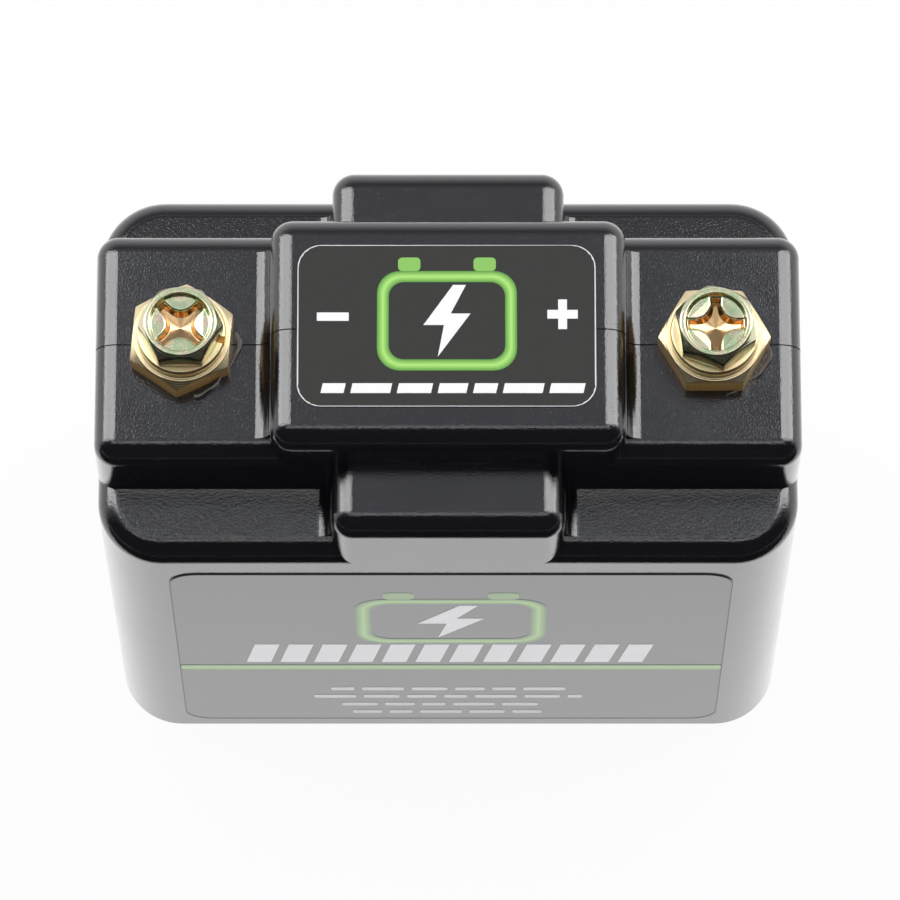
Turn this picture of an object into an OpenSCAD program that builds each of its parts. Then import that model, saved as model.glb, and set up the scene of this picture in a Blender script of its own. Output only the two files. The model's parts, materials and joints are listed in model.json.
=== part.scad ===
// Lithium motorcycle battery: a two-half moulded case with stepped top, brass screw
// terminals, and inside it eight cylindrical cells, their links and a balance board.
// Millimetres, +Z up, origin at the middle of the underside. The front is towards -Y.

/* [Case] */
// Length of the case, left to right
case_w = 96; // [94:0.5:110]
// Depth of the case, front to back
case_d = 52.4; // [51:0.2:70]
// Height of the four shoulders
shoulder_h = 81; // [80:0.5:95]
// Wall thickness of both halves
wall = 2.5; // [2:0.1:3]
// Radius of the upright corners of the case
corner_r = 8.8; // [6:0.2:12]
// Radius of the rounded top edges
edge_r = 3; // [2.7:0.1:3.6]
// Radius of the hollow root where a step meets a flat top
root_r = 2; // [1:0.1:2.5]

/* [Stepped top] */
// Width of the front and back tabs
tab_w = 31.8; // [28:0.2:40]
// Rise of the tabs above the shoulders
tab_rise = 11.4; // [8:0.2:12]
// Depth of the cross bar that carries the terminals
bar_d = 32.8; // [30:0.2:40]
// Rise of the terminal pads above the shoulders
pad_rise = 12.8; // [12.2:0.2:16]
// Width of the raised middle block
block_w = 48.2; // [42:0.2:56]
// Rise of the middle block above the pads
block_rise = 6.4; // [4:0.2:8]

/* [Seam] */
// Width of the parting line that shows between the halves
seam_gap = 0.16; // [0.1:0.02:0.3]
// Thickness of the tongue inside the seam
tongue_t = 1.1; // [0.8:0.1:1.3]
// Reach of the tongue past the parting line
tongue_len = 1.6; // [1:0.1:2.5]

/* [Terminals] */
// Size across flats of the brass hexagon
hex_af = 13.3; // [12:0.1:14]
// Height of the brass hexagon above its pad
hex_stand = 3.8; // [3:0.1:5]
// Turn of the left hexagon about its axis, in degrees
left_hex_turn = 25.3; // [0:0.1:60]
// Diameter of the round neck that passes through the pad
neck_d = 10; // [9:0.1:11]
// Size across flats of the flange under the pad
flange_af = 13; // [12:0.1:14]
// Thickness of the flange under the pad
flange_t = 3; // [2:0.1:4]
// Diameter of the barrel below the flange
barrel_d = 9; // [8:0.1:10]
// Length of the barrel below the flange
barrel_len = 6.4; // [6:0.1:7]
// Depth of the threaded hole from the top of the hexagon
hole_depth = 13.4; // [12:0.1:14]
// Diameter of the stud that takes the inner strap
stud_d = 4; // [3:0.5:5]
// Length of the stud
stud_len = 5; // [4.5:0.1:6]
// Size across flats of the strap nut
nut_af = 7; // [6:0.5:8]
// Thickness of the strap nut
nut_t = 3.2; // [2.4:0.1:4]
// Wall of the pocket that stops the flange from turning
pocket_wall = 1.8; // [1.2:0.1:2.5]

/* [Terminal bolts] */
// Thread diameter of the bolt
bolt_d = 6; // [5:0.5:6]
// Length of the bolt under its head
bolt_len = 12; // [10:0.5:12]
// Size across flats of the bolt head
head_af = 10; // [9:0.1:11]
// Height of the bolt head
head_h = 4; // [3.6:0.1:4.6]
// Turn of the left bolt head, in degrees
left_head_turn = 0; // [-30:1:30]
// Turn of the right bolt head, in degrees
right_head_turn = -20; // [-30:1:30]
// Turn of the left cross recess, in degrees
left_cross_turn = 45; // [0:1:90]
// Turn of the right cross recess, in degrees
right_cross_turn = 0; // [0:1:90]
// Diameter of the dish in the bolt head
dish_d = 8; // [7:0.1:8.4]
// Depth of the dish in the bolt head
dish_depth = 0.8; // [0.4:0.1:1]
// Span of the cross recess
cross_span = 7; // [6:0.1:7.4]
// Width of each arm of the cross recess
cross_w = 1.3; // [1:0.1:1.8]
// Depth of the cross recess below the dish
cross_depth = 1.8; // [1:0.1:2]
// Outer diameter of the split lock washer
washer_od = 12; // [11:0.1:12.4]
// Thickness of the split lock washer
washer_t = 1.6; // [1.2:0.1:2]
// Width of the split in the lock washer
washer_split = 1.2; // [0.6:0.1:2]
// Turn of the left washer's split, in degrees
left_split_turn = -15; // [-180:1:180]
// Turn of the right washer's split, in degrees
right_split_turn = 100; // [-180:1:180]

/* [Cells] */
// Diameter of a cell
cell_d = 18.4; // [18:0.1:18.6]
// Length of a cell over its button
cell_len = 65.2; // [64:0.1:66]
// Space between neighbouring cells
cell_gap = 1.6; // [1.4:0.1:1.7]
// Diameter of the cell's button
button_d = 6; // [5:0.5:8]
// Height of the cell's button
button_h = 0.8; // [0.5:0.1:1]
// Height of each cell holder
holder_h = 10; // [6:0.5:15]
// Thickness of the lip that the cell ends rest on
lip_t = 1; // [0.6:0.1:1.5]
// Diameter of the opening in the lip
lip_hole_d = 14; // [12:0.5:16]

/* [Links and straps] */
// Thickness of the nickel links
link_t = 0.4; // [0.2:0.1:0.6]
// Border between a link's edge and the middle of its outer cells
link_margin = 8; // [6:0.5:9]
// Diameter of the pressed dimple that is welded to a cell
dimple_d = 9; // [7:0.5:11]
// Thickness of the copper straps
strap_t = 0.8; // [0.5:0.1:1]
// Width of the copper straps
strap_w = 9; // [7:0.5:12]
// Space between a strap and the end wall of the case
strap_gap = 1.4; // [1.2:0.1:1.6]
// Thickness of the sleeve round a strap
sleeve_t = 0.5; // [0.3:0.1:0.7]
// Thickness of the insulating sheets
sheet_t = 0.5; // [0.3:0.1:0.8]

/* [Balance board] */
// Length of the circuit board
board_w = 56; // [50:1:58]
// Depth of the circuit board
board_d = 26; // [24:0.5:27]
// Thickness of the circuit board
board_t = 1.6; // [1:0.2:2]
// Height of the posts under the board
post_h = 4; // [3:0.5:5]
// Diameter of the posts under the board
post_d = 4; // [3:0.5:6]
// Diameter of a balance wire
wire_d = 1; // [0.8:0.1:1.2]
// Spacing of the contacts in the wire plug
plug_pitch = 2.5; // [2:0.1:2.6]
// Depth of the wire plug
plug_d = 7; // [6:0.5:9]
// Height of the wire plug
plug_h = 3.8; // [3:0.1:4.5]
// How far the wire plug stands out past the board's edge
plug_out = 2; // [1.5:0.1:2]
// Wall of the header that the plug pushes into
header_wall = 0.8; // [0.6:0.1:1.2]
// Length of a bleed resistor
resistor_w = 6.3; // [4:0.1:8]
// Depth of a bleed resistor
resistor_d = 3.2; // [2:0.1:4]
// Height of a bleed resistor
resistor_h = 0.7; // [0.5:0.1:1.2]
// Width of a control chip
chip_w = 4; // [3:0.1:8]
// Depth of a control chip
chip_d = 3; // [2:0.1:4]
// Height of a control chip
chip_h = 1.1; // [0.8:0.1:1.6]

/* [Labels] */
// Width of the label on the middle block
top_label_w = 40.3; // [36:0.1:42]
// Place of that label to the right of the middle
top_label_x = -0.2; // [-1:0.05:1]
// Place of that label behind the middle
top_label_y = 0.45; // [-1:0.05:1]
// Depth of the label on the middle block
top_label_d = 23.1; // [20:0.1:26]
// Corner radius of the label on the middle block
top_label_r = 3.2; // [2:0.1:5]
// Width of the label on the front wall
front_label_w = 77.8; // [60:0.2:78]
// Height of the label on the front wall
front_label_h = 70.2; // [60:0.2:73]
// Corner radius of the label on the front wall
front_label_r = 4; // [2:0.1:6]
// Height of the front label's lower edge
front_label_z = 3.3; // [2:0.1:5]
// Place of the front label to the right of the middle
front_label_x = 0.4; // [-1:0.05:1]
// Thickness of a label
label_t = 0.15; // [0.1:0.05:0.3]

/* [Hidden] */
$fn = 64;
COLUMNS = 4;
ROWS = 2;

// clearances between pieces
fit = 0.1;        // pieces that fit into each other
seat = 0.02;      // faces that are clamped on each other but move apart
thread_fit = 0.05; // bolt in its hole
slack = 0.2;      // cells in their holders, ribs against the holders
tiny = 0.01;
far = 500;

// heights of the stepped top
tab_h = shoulder_h + tab_rise;
pad_h = shoulder_h + pad_rise;
block_h = pad_h + block_rise;

// terminals stand in the middle of their pads
terminal_x = (case_w + block_w) / 4;
hex_top = pad_h + hex_stand;
flange_top = pad_h - wall;
flange_low = flange_top - flange_t;
barrel_low = flange_low - barrel_len;
head_low = hex_top + washer_t;

// the pack of cells, stacked up from the floor of the case
pitch = cell_d + cell_gap;
pack_w = COLUMNS * pitch + 2 * slack;
pack_d = ROWS * pitch + 2 * slack;
sheet_top = wall + sheet_t;
holder_low = sheet_top + link_t;
cell_low = holder_low + lip_t;
cell_top = cell_low + cell_len;
holder_top = cell_top + lip_t;
link_top = holder_top + link_t;
board_low = holder_top + link_t + sheet_t + post_h;
board_top = board_low + board_t;
strap_x = case_w / 2 - wall - strap_gap;
post_x = board_w / 2 - post_d;
low_wire_x = pitch;
low_wire_y = -pitch / 2 - link_margin + 0.6 * wire_d;
top_wire_y = low_wire_y + 1.6 * wire_d;
rib_t = 2;
end_rib_y = 0.7 * pitch;
post_y = board_d / 2 - post_d + 1;
part_pitch = board_w / 5.6;  // spacing of the resistors and of the chips along the board

// the wire plug and the header that it pushes into
plug_w = (COLUMNS + 1) * plug_pitch + 2 * fit + header_wall;
plug_front = -board_d / 2 - plug_out;
plug_low = board_top + header_wall;

// colours
black_plastic = [0.07, 0.07, 0.08];
holder_grey = [0.25, 0.26, 0.28];
label_grey = [0.17, 0.17, 0.16];
brass = [0.85, 0.68, 0.36];
zinc_yellow = [0.80, 0.80, 0.55];
nickel = [0.75, 0.75, 0.72];
copper = [0.80, 0.45, 0.28];
sleeve_blue = [0.10, 0.30, 0.55];
board_green = [0.05, 0.35, 0.18];

// column and row of a cell, and whether its button points up
function cell_x(i) = ((i % COLUMNS) - (COLUMNS - 1) / 2) * pitch;
function cell_y(i) = (floor(i / COLUMNS) - (ROWS - 1) / 2) * pitch;
function button_up(i) = (i % 2) == 1;

// ---------- shared shapes ----------

// rectangle with round corners
module round_rect(w, d, r) {
    for (x = [-1, 1], y = [-1, 1]) {
        translate([x * (w / 2 - r), y * (d / 2 - r)]) circle(r);
    }
    square([w - 2 * r, d], center = true);
    square([w, d - 2 * r], center = true);
}

// one corner of a block's rounded top: an arc turned about the corner's axis
module top_corner(corner, edge) {
    rotate_extrude() intersection() {
        union() {
            translate([corner - edge, 0]) circle(edge);
            translate([0, -edge]) square([corner - edge + tiny, 2 * edge]);
        }
        translate([0, -edge]) square([corner, 2 * edge]);
    }
}

// block with upright corners of one radius and a rounded top edge of another
module round_block(w, d, low, high, corner, edge) {
    straight = high - edge;
    translate([0, 0, low]) linear_extrude(straight - low) round_rect(w, d, corner);
    translate([0, 0, low]) linear_extrude(high - low)
        round_rect(w - 2 * edge, d - 2 * edge, max(corner - edge, tiny));
    for (x = [-1, 1], y = [-1, 1]) {
        translate([x * (w / 2 - corner), y * (d / 2 - corner), straight]) top_corner(corner, edge);
    }
    for (y = [-1, 1]) {
        translate([0, y * (d / 2 - edge), straight]) rotate([0, 90, 0])
            cylinder(r = edge, h = w - 2 * corner, center = true);
    }
    for (x = [-1, 1]) {
        translate([x * (w / 2 - edge), 0, straight]) rotate([90, 0, 0])
            cylinder(r = edge, h = d - 2 * corner, center = true);
    }
}

// outside of the case: four steps, all rounded along their top edges
module case_body() {
    round_block(case_w, case_d, 0, shoulder_h, corner_r, edge_r);
    round_block(tab_w, case_d, 0, tab_h, edge_r, edge_r);
    round_block(case_w, bar_d, 0, pad_h, edge_r, edge_r);
    round_block(block_w, bar_d, 0, block_h, edge_r, edge_r);
    step_roots();
}

// hollow fillet along X, between a wall that faces -Y and a floor, centred on the root line
module root_fillet(len, r) {
    rotate([90, 0, 90]) linear_extrude(len, center = true) difference() {
        translate([-r, -tiny]) square([r + tiny, r + tiny]);
        translate([-r, r]) circle(r);
    }
}

// fillets where the steps of the top meet the flats below them
module step_roots() {
    for (s = [-1, 1]) {
        translate([s * block_w / 2, 0, pad_h]) rotate([0, 0, -s * 90]) mirror([0, 1, 0])
            root_fillet(bar_d - 2 * edge_r, root_r);
        for (e = [-1, 1]) {
            translate([s * tab_w / 2, e * (bar_d + case_d - 2 * edge_r) / 4, shoulder_h])
                rotate([0, 0, -s * 90]) mirror([0, 1, 0])
                root_fillet((case_d - bar_d) / 2 - edge_r, root_r);
        }
    }
}

// room inside the case: plain boxes, because the rounded edges are only outside
module cavity() {
    translate([0, 0, wall]) linear_extrude(shoulder_h - 2 * wall)
        round_rect(case_w - 2 * wall, case_d - 2 * wall, corner_r - wall);
    for (step = [[tab_w, case_d, tab_h], [case_w, bar_d, pad_h], [block_w, bar_d, block_h]]) {
        size = step - 2 * wall * [1, 1, 1];
        translate([-size[0] / 2, -size[1] / 2, wall]) cube(size);
    }
}

// outline of the case at the parting plane, drawn in by a distance; X across, Z up
module seam_outline(inset) {
    for (step = [[case_w, pad_h], [block_w, block_h]]) {
        translate([-step[0] / 2 + inset, inset]) square([step[0] - 2 * inset, step[1] - 2 * inset]);
    }
}

// upright ring in the shape of the seam, from one Y to another
module seam_ring(inset, from_y, to_y) {
    translate([0, to_y, 0]) rotate([90, 0, 0]) linear_extrude(to_y - from_y) difference() {
        seam_outline(inset);
        seam_outline(wall);
    }
}

// ---------- case ----------

// holes for the terminal necks, and the six-sided pockets below them
module terminal_cuts() {
    for (s = [-1, 1]) {
        translate([s * terminal_x, 0, flange_low - far / 2]) cylinder(d = neck_d + 2 * fit, h = far);
        translate([s * terminal_x, 0, flange_low - wall])
            cylinder(d = (flange_af + 2 * fit) / cos(30), h = flange_t + wall, $fn = 6);
    }
}

module terminal_pockets() {
    size = flange_af / cos(30) + 2 * pocket_wall;
    for (s = [-1, 1]) {
        translate([s * terminal_x - size / 2, -size / 2, flange_low])
            cube([size, size, flange_t + wall / 2]);
    }
}

// ribs that hold the cell holders away from the walls; side is -1 at the front, 1 at the back
module case_ribs(side) {
    long_y = pack_d / 2 + fit;
    for (x = [-pitch, pitch]) {
        translate([x - rib_t / 2, side > 0 ? long_y : -case_d / 2 + wall / 2, wall / 2])
            cube([rib_t, case_d / 2 - wall / 2 - long_y, holder_top - wall / 2]);
    }
    for (s = [-1, 1]) {
        from_x = pack_w / 2 + fit;
        translate([s > 0 ? from_x : -case_w / 2 + wall / 2, side * end_rib_y - rib_t / 2, wall / 2])
            cube([case_w / 2 - wall / 2 - from_x, rib_t, holder_top - wall / 2]);
    }
}

// everything on the other side of the parting line
module other_side(side) {
    translate([-far / 2, side > 0 ? seam_gap / 2 - far : -seam_gap / 2, -far / 2])
        cube([far, far, far]);
}

module half_shell(side) {
    difference() {
        union() {
            difference() {
                case_body();
                cavity();
                other_side(side);
            }
            difference() {
                union() {
                    terminal_pockets();
                    case_ribs(side);
                }
                other_side(side);
            }
        }
        terminal_cuts();
    }
}

module front_case_half() {
    color(black_plastic) {
        half_shell(-1);
        difference() {
            seam_ring(wall - tongue_t, -seam_gap, tongue_len);
            terminal_cuts();
        }
    }
}

module rear_case_half() {
    color(black_plastic) difference() {
        half_shell(1);
        seam_ring(wall - tongue_t - fit, -seam_gap, tongue_len + fit);
    }
}

module top_label() {
    color(label_grey) translate([top_label_x, top_label_y, block_h]) linear_extrude(label_t)
        round_rect(top_label_w, top_label_d, top_label_r);
}

module front_label() {
    color(label_grey)
        translate([front_label_x, -case_d / 2, front_label_z + front_label_h / 2])
        rotate([90, 0, 0]) linear_extrude(label_t)
        round_rect(front_label_w, front_label_h, front_label_r);
}

// ---------- terminals ----------

// hexagonal prism with its upper corners turned off at 30 degrees
module chamfered_hex(af, h, turn) {
    corner = af / 2 / cos(30);
    drop = (corner - af / 2) * tan(30);
    rotate([0, 0, turn]) intersection() {
        cylinder(r = corner, h = h, $fn = 6);
        union() {
            cylinder(r = corner + 1, h = h - drop);
            translate([0, 0, h - drop]) cylinder(r1 = corner, r2 = af / 2, h = drop);
        }
    }
}

module terminal(s, turn) {
    color(brass) translate([s * terminal_x, 0, 0]) difference() {
        union() {
            translate([0, 0, pad_h]) chamfered_hex(hex_af, hex_stand, turn);
            translate([0, 0, flange_top - tiny]) cylinder(d = neck_d, h = wall + 2 * tiny);
            translate([0, 0, flange_low]) cylinder(d = flange_af / cos(30), h = flange_t, $fn = 6);
            translate([0, 0, barrel_low]) cylinder(d = barrel_d, h = barrel_len + tiny);
            translate([0, 0, barrel_low - stud_len]) cylinder(d = stud_d, h = stud_len + tiny);
        }
        translate([0, 0, hex_top - hole_depth]) cylinder(d = bolt_d + 2 * thread_fit, h = far);
    }
}

module negative_terminal() { terminal(-1, left_hex_turn); }
module positive_terminal() { terminal(1, 0); }

// clear adhesive that has crept out along one side of the hexagon's foot
module sealant(s, turn) {
    corner = hex_af / 2 / cos(30);
    color([0.85, 0.85, 0.8]) translate([s * terminal_x, 0, pad_h]) difference() {
        rotate([0, 0, -70]) rotate_extrude(angle = 80)
            translate([hex_af / 2 - 1, 0]) square([corner - hex_af / 2 + 1.6, 0.4]);
        rotate([0, 0, turn]) translate([0, 0, -1]) cylinder(r = corner, h = 3, $fn = 6);
    }
}

module negative_sealant() { sealant(-1, left_hex_turn); }
module positive_sealant() { sealant(1, 0); }

module washer(s, gap_turn) {
    color(zinc_yellow) translate([s * terminal_x, 0, hex_top + seat]) difference() {
        cylinder(d = washer_od, h = washer_t - 2 * seat);
        translate([0, 0, -1]) cylinder(d = bolt_d + 2 * fit, h = far);
        rotate([0, 0, gap_turn]) translate([washer_od / 2, 0, washer_t / 2]) rotate([25, 0, 0])
            cube([washer_od, washer_split, 4 * washer_t], center = true);
    }
}

module negative_washer() { washer(-1, left_split_turn); }
module positive_washer() { washer(1, right_split_turn); }

module cross_recess(turn) {
    tip = 0.5;
    for (a = [0, 90]) {
        rotate([0, 0, turn + a]) intersection() {
            cube([cross_span, cross_w, far], center = true);
            cylinder(r1 = tip, r2 = cross_span / 2 + tip,
                h = cross_depth + dish_depth);
        }
    }
    cylinder(r1 = tip, r2 = cross_w * 1.2, h = cross_depth);
}

module bolt(s, head_turn, cross_turn) {
    recess_low = head_low + head_h - dish_depth - cross_depth;
    point = 0.8;
    color(zinc_yellow) translate([s * terminal_x, 0, 0]) difference() {
        union() {
            translate([0, 0, head_low]) chamfered_hex(head_af, head_h, head_turn);
            translate([0, 0, head_low - bolt_len + point]) cylinder(d = bolt_d, h = bolt_len);
            translate([0, 0, head_low - bolt_len])
                cylinder(d1 = bolt_d - 2 * point, d2 = bolt_d, h = point);
        }
        translate([0, 0, head_low + head_h - dish_depth])
            cylinder(d1 = dish_d - dish_depth, d2 = dish_d, h = dish_depth + tiny);
        translate([0, 0, recess_low]) cross_recess(cross_turn);
    }
}

module negative_bolt() { bolt(-1, left_head_turn, left_cross_turn); }
module positive_bolt() { bolt(1, right_head_turn, right_cross_turn); }

// ---------- straps ----------

// C-shaped copper strap from the stud, down the end wall and in over the busbar
module strap(s) {
    inner_x = terminal_x - barrel_d / 2;
    color(copper) mirror([s < 0 ? 1 : 0, 0, 0]) translate([0, -strap_w / 2, 0]) difference() {
        union() {
            translate([inner_x, 0, barrel_low - strap_t]) cube([strap_x - inner_x, strap_w, strap_t]);
            translate([strap_x - strap_t, 0, link_top])
                cube([strap_t, strap_w, barrel_low - link_top]);
            translate([cell_x(COLUMNS - 1), 0, link_top])
                cube([strap_x - cell_x(COLUMNS - 1), strap_w, strap_t]);
        }
        translate([terminal_x, strap_w / 2, barrel_low - 2 * strap_t])
            cylinder(d = stud_d + 2 * fit, h = 3 * strap_t);
    }
}

module negative_strap() { strap(-1); }
module positive_strap() { strap(1); }

module strap_nut(s) {
    color(nickel) translate([s * terminal_x, 0, barrel_low - strap_t - nut_t]) difference() {
        cylinder(d = nut_af / cos(30), h = nut_t, $fn = 6);
        translate([0, 0, -1]) cylinder(d = stud_d + 2 * thread_fit, h = nut_t + 2);
    }
}

module negative_strap_nut() { strap_nut(-1); }
module positive_strap_nut() { strap_nut(1); }

module strap_sleeve(s, tint) {
    low = link_top + 2 * strap_t;
    high = barrel_low - 2 * strap_t;
    size = [strap_t + 2 * sleeve_t, strap_w + 2 * sleeve_t];
    color(tint) translate([s * (strap_x - strap_t / 2), 0, low]) linear_extrude(high - low)
        difference() {
            round_rect(size[0] + 2 * fit, size[1] + 2 * fit, sleeve_t);
            square([strap_t + 2 * fit, strap_w + 2 * fit], center = true);
        }
}

module negative_strap_sleeve() { strap_sleeve(-1, [0.05, 0.05, 0.05]); }
module positive_strap_sleeve() { strap_sleeve(1, [0.7, 0.08, 0.06]); }

// ---------- cells ----------

// one cell, standing on its flat end, with the crimp groove near its button
module cell(i) {
    r = cell_d / 2;
    body = cell_len - button_h;
    groove = body - 4;
    bevel = 0.6;
    flip = button_up(i) ? 0 : 1;
    color(sleeve_blue)
        translate([cell_x(i), cell_y(i), flip == 1 ? cell_top : cell_low])
        mirror([0, 0, flip]) rotate_extrude() polygon([
            [0, 0], [r - bevel, 0], [r, bevel], [r, groove - 1], [r - 0.7, groove],
            [r, groove + 1], [r, body - bevel], [r - bevel, body], [button_d / 2, body],
            [button_d / 2, cell_len], [0, cell_len]]);
}

module cell_1() { cell(0); }
module cell_2() { cell(1); }
module cell_3() { cell(2); }
module cell_4() { cell(3); }
module cell_5() { cell(4); }
module cell_6() { cell(5); }
module cell_7() { cell(6); }
module cell_8() { cell(7); }

// tray with a cup for each cell, its lip below
module holder() {
    difference() {
        linear_extrude(holder_h) round_rect(pack_w, pack_d, cell_d / 2);
        for (i = [0 : COLUMNS * ROWS - 1]) {
            translate([cell_x(i), cell_y(i), lip_t]) cylinder(d = cell_d + 2 * slack, h = far);
            translate([cell_x(i), cell_y(i), -1]) cylinder(d = lip_hole_d, h = far);
        }
        // the wires to the lower links pass between the cells
        for (s = [-1, 1]) {
            translate([s * low_wire_x, low_wire_y, -1]) cylinder(d = wire_d + 2 * slack, h = far);
        }
    }
}

module lower_cell_holder() {
    color(holder_grey) translate([0, 0, holder_low]) holder();
}

module board_posts(h, d) {
    for (x = [-post_x, post_x], y = [-post_y, post_y]) translate([x, y, 0]) cylinder(d = d, h = h);
}

module upper_cell_holder() {
    pin_d = post_d / 2;
    color(holder_grey) {
        translate([0, 0, holder_top]) mirror([0, 0, 1]) holder();
        translate([0, 0, holder_top - lip_t]) board_posts(board_low - holder_top + lip_t, post_d);
        translate([0, 0, holder_top]) board_posts(board_top + 1 - holder_top, pin_d);
    }
}

// welded link over a block of columns, with a dimple that reaches through the lip to each cell
module link(from_col, to_col, low, dimple_low) {
    x0 = cell_x(from_col) - link_margin;
    x1 = cell_x(to_col) + link_margin;
    depth = (ROWS - 1) * pitch + 2 * link_margin;
    translate([(x0 + x1) / 2, 0, low]) linear_extrude(link_t) round_rect(x1 - x0, depth, 2);
    for (c = [from_col : to_col], r = [0 : ROWS - 1]) {
        translate([cell_x(c), cell_y(r * COLUMNS), dimple_low])
            cylinder(d = dimple_d, h = lip_t + link_t);
    }
}

module top_link(from_col, to_col) {
    color(nickel) difference() {
        link(from_col, to_col, holder_top, cell_top);
        board_posts(far, post_d + 2 * slack);
    }
}

module bottom_link(from_col, to_col) {
    color(nickel) link(from_col, to_col, sheet_top, sheet_top);
}

module upper_link() { top_link(1, 2); }
module negative_busbar() { top_link(0, 0); }
module positive_busbar() { top_link(3, 3); }
module lower_left_link() { bottom_link(0, 1); }
module lower_right_link() { bottom_link(2, 3); }

module lower_insulating_sheet() {
    color([0.75, 0.78, 0.7]) translate([0, 0, wall]) linear_extrude(sheet_t)
        round_rect(pack_w, pack_d, corner_r - wall);
}

module upper_insulating_sheet() {
    color([0.75, 0.78, 0.7]) translate([0, 0, link_top]) difference() {
        linear_extrude(sheet_t) round_rect(board_w, board_d + 4, 2);
        translate([0, 0, -1]) board_posts(far, post_d + 2 * slack);
    }
}

// ---------- balance board ----------

module balance_board() {
    color(board_green) translate([0, 0, board_low]) difference() {
        linear_extrude(board_t) round_rect(board_w, board_d, 1.5);
        translate([0, 0, -1]) board_posts(far, post_d / 2 + 2 * slack);
    }
}

// four bleed resistors in a row behind the plug
module balance_resistors() {
    color([0.1, 0.1, 0.1]) for (k = [-1.5 : 1 : 1.5]) {
        translate([k * part_pitch - resistor_w / 2, board_d / 2 - 3 * resistor_d, board_top])
            cube([resistor_w, resistor_d, resistor_h]);
    }
}

// one control chip for each column of cells
module balance_chips() {
    color([0.08, 0.08, 0.08]) for (k = [-1.5 : 1 : 1.5]) {
        translate([k * part_pitch - chip_w / 2, -chip_d / 2, board_top])
            cube([chip_w, chip_d, chip_h]);
    }
}

module wire_header() {
    depth = plug_d + header_wall - plug_out;
    color([0.9, 0.88, 0.8]) translate([-plug_w / 2 - header_wall, -board_d / 2, board_top])
        difference() {
            cube([plug_w + 2 * header_wall, depth, plug_h + 2 * header_wall]);
            translate([header_wall - fit, -1, header_wall - fit])
                cube([plug_w + 2 * fit, depth - header_wall + 1, plug_h + 2 * fit]);
        }
}

module wire_plug() {
    color([0.95, 0.95, 0.92]) translate([-plug_w / 2, plug_front, plug_low])
        cube([plug_w, plug_d - fit, plug_h]);
}

// straight runs with round elbows through the points of a wire
module wire(points) {
    for (k = [0 : len(points) - 2]) {
        a = points[k];
        b = points[k + 1];
        d = b - a;
        turn = abs(d[0]) > tiny ? [0, 90, 0] : (abs(d[1]) > tiny ? [90, 0, 0] : [0, 0, 0]);
        translate((a + b) / 2) rotate(turn) cylinder(d = wire_d, h = norm(d), center = true);
        if (k > 0) translate(a) sphere(d = wire_d);
    }
}

// one wire to each link and busbar: two run down the front to the lower links
module balance_wires() {
    z = plug_low + plug_h / 2;
    top_y = top_wire_y;
    low_y = low_wire_y;
    run_z = link_top + 2.5 * wire_d;
    color([0.15, 0.15, 0.6]) {
        wire([[0, plug_front, z], [0, top_y, z], [0, top_y, link_top]]);
        for (s = [-1, 1]) {
            x = s * plug_pitch;
            wire([[x, plug_front, z], [x, top_y, z], [x, top_y, run_z],
                [s * cell_x(COLUMNS - 1), top_y, run_z], [s * cell_x(COLUMNS - 1), top_y, link_top]]);
            wire([[2 * x, plug_front, z], [2 * x, low_y, z], [2 * x, low_y, run_z],
                [s * low_wire_x, low_y, run_z], [s * low_wire_x, low_y, sheet_top + link_t]]);
        }
    }
}

front_case_half();
rear_case_half();
top_label();
front_label();
negative_terminal();
positive_terminal();
negative_sealant();
positive_sealant();
negative_washer();
positive_washer();
negative_bolt();
positive_bolt();
negative_strap();
positive_strap();
negative_strap_nut();
positive_strap_nut();
negative_strap_sleeve();
positive_strap_sleeve();
negative_busbar();
positive_busbar();
upper_link();
lower_left_link();
lower_right_link();
lower_cell_holder();
upper_cell_holder();
lower_insulating_sheet();
upper_insulating_sheet();
cell_1();
cell_2();
cell_3();
cell_4();
cell_5();
cell_6();
cell_7();
cell_8();
balance_board();
balance_resistors();
balance_chips();
wire_header();
wire_plug();
balance_wires();
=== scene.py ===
# %% [markdown]
# # A motorcycle battery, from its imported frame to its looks
# The frame holds every piece of the battery at its real size. This lesson gives each piece the
# surface that it has on the real thing, and builds the small turned and stamped metal pieces again
# with their rims, threads and edges. Lengths are in metres; millimetre values are multiplied by MM.

# %% Load the frame
import json
import math

import bmesh
import bpy
import numpy as np
from mathutils import Matrix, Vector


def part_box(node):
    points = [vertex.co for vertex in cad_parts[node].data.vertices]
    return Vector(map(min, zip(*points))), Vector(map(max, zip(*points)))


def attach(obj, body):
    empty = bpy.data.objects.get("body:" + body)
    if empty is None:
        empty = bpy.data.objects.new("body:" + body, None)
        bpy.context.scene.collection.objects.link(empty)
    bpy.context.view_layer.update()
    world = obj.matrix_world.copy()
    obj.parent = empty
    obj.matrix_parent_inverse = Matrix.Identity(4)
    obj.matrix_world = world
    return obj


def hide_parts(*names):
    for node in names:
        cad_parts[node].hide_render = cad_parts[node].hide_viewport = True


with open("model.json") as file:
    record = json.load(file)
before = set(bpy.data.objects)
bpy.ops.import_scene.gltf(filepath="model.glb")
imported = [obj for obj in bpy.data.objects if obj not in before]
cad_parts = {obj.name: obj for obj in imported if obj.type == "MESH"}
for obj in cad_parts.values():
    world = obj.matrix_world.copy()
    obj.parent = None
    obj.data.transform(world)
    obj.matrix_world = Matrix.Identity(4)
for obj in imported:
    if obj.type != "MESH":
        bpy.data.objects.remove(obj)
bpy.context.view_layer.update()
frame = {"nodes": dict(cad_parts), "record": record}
MM = 0.001
SIDES = ("negative", "positive")

# %% [markdown]
# ## The camera
# The photograph was taken from the front and high above, with a long lens, so that the sides of the
# case run almost parallel. Its place was worked out from the edges of the case. A long lens far away
# is copied as it is, because a nearer camera would show more of the front wall.

# %% Camera
CAMERA_PLACE = (0.26 * MM, -302.64 * MM, 949.25 * MM)
CAMERA_TILT_DEG = 18.581
LENS = 267.35

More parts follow.
